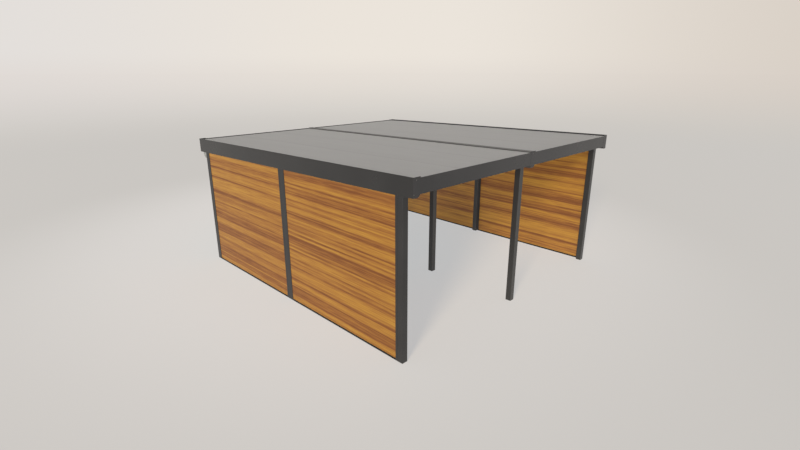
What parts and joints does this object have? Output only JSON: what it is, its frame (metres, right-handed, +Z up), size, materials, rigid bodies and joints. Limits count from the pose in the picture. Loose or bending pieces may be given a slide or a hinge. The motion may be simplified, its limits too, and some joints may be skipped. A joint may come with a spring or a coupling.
{
  "type": "double carport",
  "caption": "Free-standing double carport: flat roof on slim square posts, open at front and back, with wood-decor walls along both sides.",
  "frame": {"origin": "on the floor under the middle of the roof's outline", "axes": "+X to the right seen from the front, +Y to the back, +Z up"},
  "size_m": [5.5, 6.05, 2.6668],
  "materials": {
    "anthracite_posts": "fine matt anthracite powder coat",
    "anthracite_roof_edge": "fine matt anthracite powder coat",
    "grey_roof": "smooth matt mid-grey coated sheet",
    "wood_decor": "amber brown horizontal wood grain, satin",
    "grey_pipe": "plain grey pipe plastic"
  },
  "bodies": {
    "root": {"centre_back_post": "anthracite_posts", "centre_beam": "anthracite_roof_edge", "centre_beam_back_cap": "anthracite_roof_edge", "centre_beam_front_cap": "anthracite_roof_edge", "centre_front_post": "anthracite_posts", "centre_post_feet": "anthracite_posts", "centre_second_post": "anthracite_posts", "centre_third_post": "anthracite_posts", "left_back_channels": "anthracite_posts", "left_back_fascia": "anthracite_roof_edge", "left_back_floor_rail": "anthracite_posts", "left_back_panel": "wood_decor", "left_back_post": "anthracite_posts", "left_beam": "anthracite_roof_edge", "left_beam_back_cap": "anthracite_roof_edge", "left_beam_front_cap": "anthracite_roof_edge", "left_front_channels": "anthracite_posts", "left_front_fascia": "anthracite_roof_edge", "left_front_floor_rail": "anthracite_posts", "left_front_panel": "wood_decor", "left_front_post": "anthracite_posts", "left_middle_post": "anthracite_posts", "left_post_feet": "anthracite_posts", "left_purlins": "anthracite_roof_edge", "left_rain_bend": "grey_pipe", "left_roof_deck": "grey_roof", "right_back_channels": "anthracite_posts", "right_back_fascia": "anthracite_roof_edge", "right_back_floor_rail": "anthracite_posts", "right_back_panel": "wood_decor", "right_back_post": "anthracite_posts", "right_beam": "anthracite_roof_edge", "right_beam_back_cap": "anthracite_roof_edge", "right_beam_front_cap": "anthracite_roof_edge", "right_front_channels": "anthracite_posts", "right_front_fascia": "anthracite_roof_edge", "right_front_floor_rail": "anthracite_posts", "right_front_panel": "wood_decor", "right_front_post": "anthracite_posts", "right_middle_post": "anthracite_posts", "right_post_feet": "anthracite_posts", "right_purlins": "anthracite_roof_edge", "right_rain_bend": "grey_pipe", "right_roof_deck": "grey_roof"}
  },
  "joints": []
}
